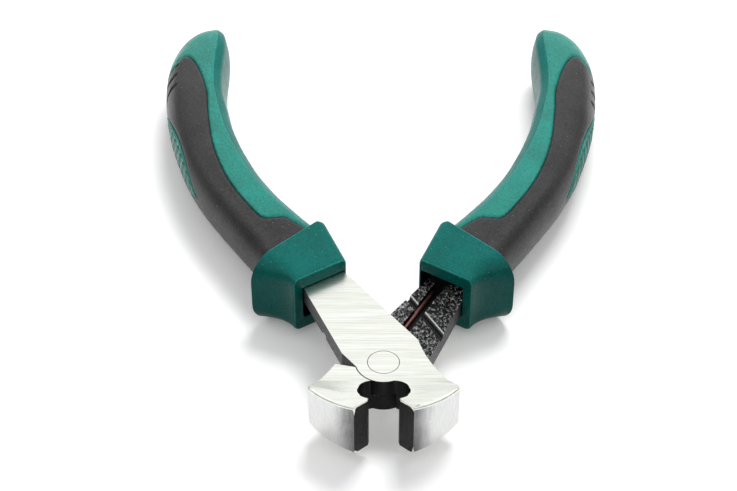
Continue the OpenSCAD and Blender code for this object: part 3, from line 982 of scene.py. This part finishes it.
# the side's rings begin at this part of a half turn, just past the mouth's rounding
first_side_ring = 0.0287
hole_t = 7.2
hole_from, hole_to = 0.38, 9.45
hole_corner = 0.45
hole_depth = 6.0
hole_lean = np.array([-0.28, 0.96])
hole_edge = 0.12
hole_front = 0.5


def hole_ring(inset, depth):
    """One ring of the hole in the collar's mouth, in which the tang lies."""
    ring = oblong(hole_to - hole_from - 2 * inset, hole_t - 2 * inset,
                  hole_corner, hole_corner)
    start = mouth_mid - mouth_out * mouth_w / 2
    run = np.outer(ring[:, 0] + hole_from + inset, mouth_out)
    return np.column_stack([start + run + hole_lean * depth, ring[:, 1]])


def collar_mesh():
    """Points, faces and the finish of each face of the collar with its open mouth."""
    rings = [hole_ring(0.0, hole_depth), hole_ring(0.0, hole_front),
             hole_ring(0.0, hole_edge), hole_ring(-hole_edge, 0.0)]
    # the hole's bands take the painted shade
    hollow_bands = len(rings) - 2
    mouth_edge = len(rings) + 1
    for k in range(mouth_rings):
        a = math.pi / 2 * k / (mouth_rings - 1)
        rings.append(collar_ring(
            mouth_draw * (1 - math.cos(a)), mouth_round * (1 - math.sin(a))))
    places = np.sin(np.linspace(first_side_ring, 0.5, side_rings) * math.pi)
    rings += [collar_ring(t) for t in places]
    ridge_edge = len(rings) - 1
    for k in range(1, rear_rings + 1):
        a = math.pi / 2 * k / rear_rings
        rings.append(collar_ring(
            1, rear_round * (1 - math.cos(a)), rear_round * math.sin(a)))
    sides = len(rings[0])
    # the rounded edges at the mouth and the ridge take the painted highlight
    highlight_bands = (mouth_edge, mouth_edge + 1, ridge_edge, ridge_edge + 1)
    front, rear = end_faces(len(rings), sides)
    faces, finish_of = [front] + ring_faces(len(rings), sides) + [rear], [HOLLOW_SHADE]
    for i in range(len(rings) - 1):
        band = HOLLOW_SHADE if i < hollow_bands else HIGHLIT_EDGE if i in highlight_bands else SHADED_COLLAR
        finish_of += [band] * sides
    finish_of.append(SHADED_COLLAR)
    return np.concatenate(rings), faces, finish_of


# share across the grip up to which its inner side is moulded nearly smooth, and painted a deeper
# teal as shade
smooth_shaded_to = 0.185


def grips():
    """Hard body and soft cover of each grip, from one skin that is cut at the seam."""
    rows, cells, columns = grip_rows()
    base = grip_surface(rows[:, 0], rows[:, 1], rows[:, 2], 0.0)
    cover = cover_field(base[:, :2])
    window = np.where(rows[:, 1] > outer_side_from, lens_field(base), -lens_reach)
    rows = np.column_stack([rows, cover, window])
    over, under, rows = cut_cells(rows, cells, np.minimum(cover, -window))
    cover, window = rows[:, 3], rows[:, 4]
    count = len(rows)
    caps = end_faces(len(cells) // columns + 1, columns)
    edges = open_edges(over)
    over_below = [[i + count for i in cell] for cell in over]
    seam_wall = [[a, b, b + count, a + count] for a, b in edges]

    hard = skin_points(rows, cover, window, body_side=True)
    bed = grip_surface(rows[:, 0], rows[:, 1], rows[:, 2], cover_wall + seam_gap)
    hard_faces = under + caps + over_below + seam_wall
    finish_of = [SMOOTH_SHADED if rows[cell, 1].mean() < smooth_shaded_to else HARD for cell in under]
    finish_of += [HARD] * (len(hard_faces) - len(under))
    collar_points, collar_faces, collar_finish_of = collar_mesh()
    hard_points = np.concatenate([hard, bed, collar_points])
    hard_faces += [[i + 2 * count for i in face] for face in collar_faces]
    finish_of += collar_finish_of

    soft = skin_points(rows, cover, window, body_side=False)
    lining = grip_surface(rows[:, 0], rows[:, 1], rows[:, 2], cover_wall)
    soft_points = np.concatenate([soft, lining])
    soft_faces = over + [cell[::-1] for cell in over_below] + seam_wall

    for side, body in (("left", "upper_half"), ("right", "lower_half")):
        for name, points, faces, finishes, finish, node, slot in (
                ("hard_grip", hard_points, hard_faces, hard_finishes, finish_of,
                 "grip_body", "hard_grip"),
                ("soft_cover", soft_points, soft_faces, [soft_finish],
                 [0] * len(soft_faces), "grip_cover", "soft_grip")):
            used = sorted({i for face in faces for i in face})
            renumbered = {old: new for new, old in enumerate(used)}
            piece = mesh_piece(
                f"{side}_{name}", in_part(points[used], side),
                [[renumbered[i] for i in face] for face in faces], finishes, body,
                sharp=42.0, finish_of=finish)
            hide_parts(f"{side}_{node}")


grips()


# ---------------------------------------------------------------------------
# The bench and the light. A white sheet under a soft bright ceiling and backdrop, so
# that the ground faces read nearly white. One softbox behind the tool throws its soft
# shadow forward, and a dim strip lamp on each side lights the edges.
# ---------------------------------------------------------------------------
def seen_directly(finish):
    """1 for rays from the camera, and for those that reflections and glass see."""
    return finish.add("LightPath", out=[
        "Is Camera Ray", "Is Glossy Ray", "Is Transmission Ray"])


def bench_finish():
    """White paper where it is seen, and a grey card for the light that it throws back."""
    finish = Finish("white_sheet")
    card, dull, white = shade(118, 118, 118), shade(248, 248, 248), shade(250, 250, 250)
    no_glow, paper_glow = (0.0, 0.0, 0.0, 1.0), (0.15, 0.15, 0.15, 1.0)
    camera_ray, glossy, through_glass = seen_directly(finish)
    seen = camera_ray + glossy + through_glass
    fibres = finish.noise((0.3, 0.3, 0.3), detail=3.0)
    paper = finish.mix(fibres, dull, white)
    return finish.surface(
        Base_Color=finish.mix(seen, card, paper), Roughness=0.9, Specular_IOR_Level=0.1,
        Emission_Color=finish.mix(seen, no_glow, paper_glow), Emission_Strength=1.0)


bench_reach = 1.5
bench_corners = ((-1, -1), (1, -1), (1, 1), (-1, 1))
bench_mesh = bpy.data.meshes.new("bench")
bench_mesh.from_pydata(
    [(x * bench_reach, y * bench_reach, 0) for x, y in bench_corners], [],
    [[0, 1, 2, 3]])
bench_mesh.materials.append(bench_finish())
bench = bpy.data.objects.new("bench", bench_mesh)
bpy.context.scene.collection.objects.link(bench)

ceiling_low, ceiling_high = 0.08, 0.62
backdrop_low, backdrop_high = 0.76, 0.94
studio_light, studio_rest = 0.66, 0.05
brighter_in_mirrors = 0.7

sky = Finish("studio", bpy.data.worlds)
bpy.context.scene.world = sky.owner
camera_ray, glossy, through_glass = seen_directly(sky)
direction = sky.add("TexCoord", out="Generated")
up, ahead = sky.add("SeparateXYZ", None, {0: direction}, out=["Z", "Y"])
ceiling = sky.step(up, ceiling_low, ceiling_high)
backdrop = sky.step(ahead, backdrop_low, backdrop_high)
studio = sky.math("MAXIMUM", ceiling, backdrop) * studio_light + studio_rest
studio_seen = studio * (glossy * brighter_in_mirrors + 1.0)
glow = sky.math("MAXIMUM", studio_seen, camera_ray)
lit = sky.add("Background", None, {"Color": (1, 1, 1, 1), "Strength": glow})
sky.add("OutputWorld", None, {"Surface": lit})


def softbox(name, place, width, height, power, in_mirrors=True):
    """A rectangular lamp, in metres and watts, turned to the middle of the tool."""
    lamp = bpy.data.lights.new(name, "AREA")
    lamp.shape = "RECTANGLE"
    lamp.size = width
    lamp.size_y = height
    lamp.energy = power
    box = bpy.data.objects.new(name, lamp)
    box.location = place
    box.visible_glossy = in_mirrors
    box.rotation_euler = (-Vector(place)).to_track_quat("-Z", "Y").to_euler()
    bpy.context.scene.collection.objects.link(box)


softbox("back_softbox", (0.14, 0.4, 0.68), width=0.36, height=0.26, power=4.4,
        in_mirrors=False)
for side, x in (("left", -0.5), ("right", 0.5)):
    softbox(f"{side}_strip", (x, 0.2, 0.42), width=0.08, height=0.3, power=0.25)

bpy.context.scene.view_settings.view_transform = "Standard"
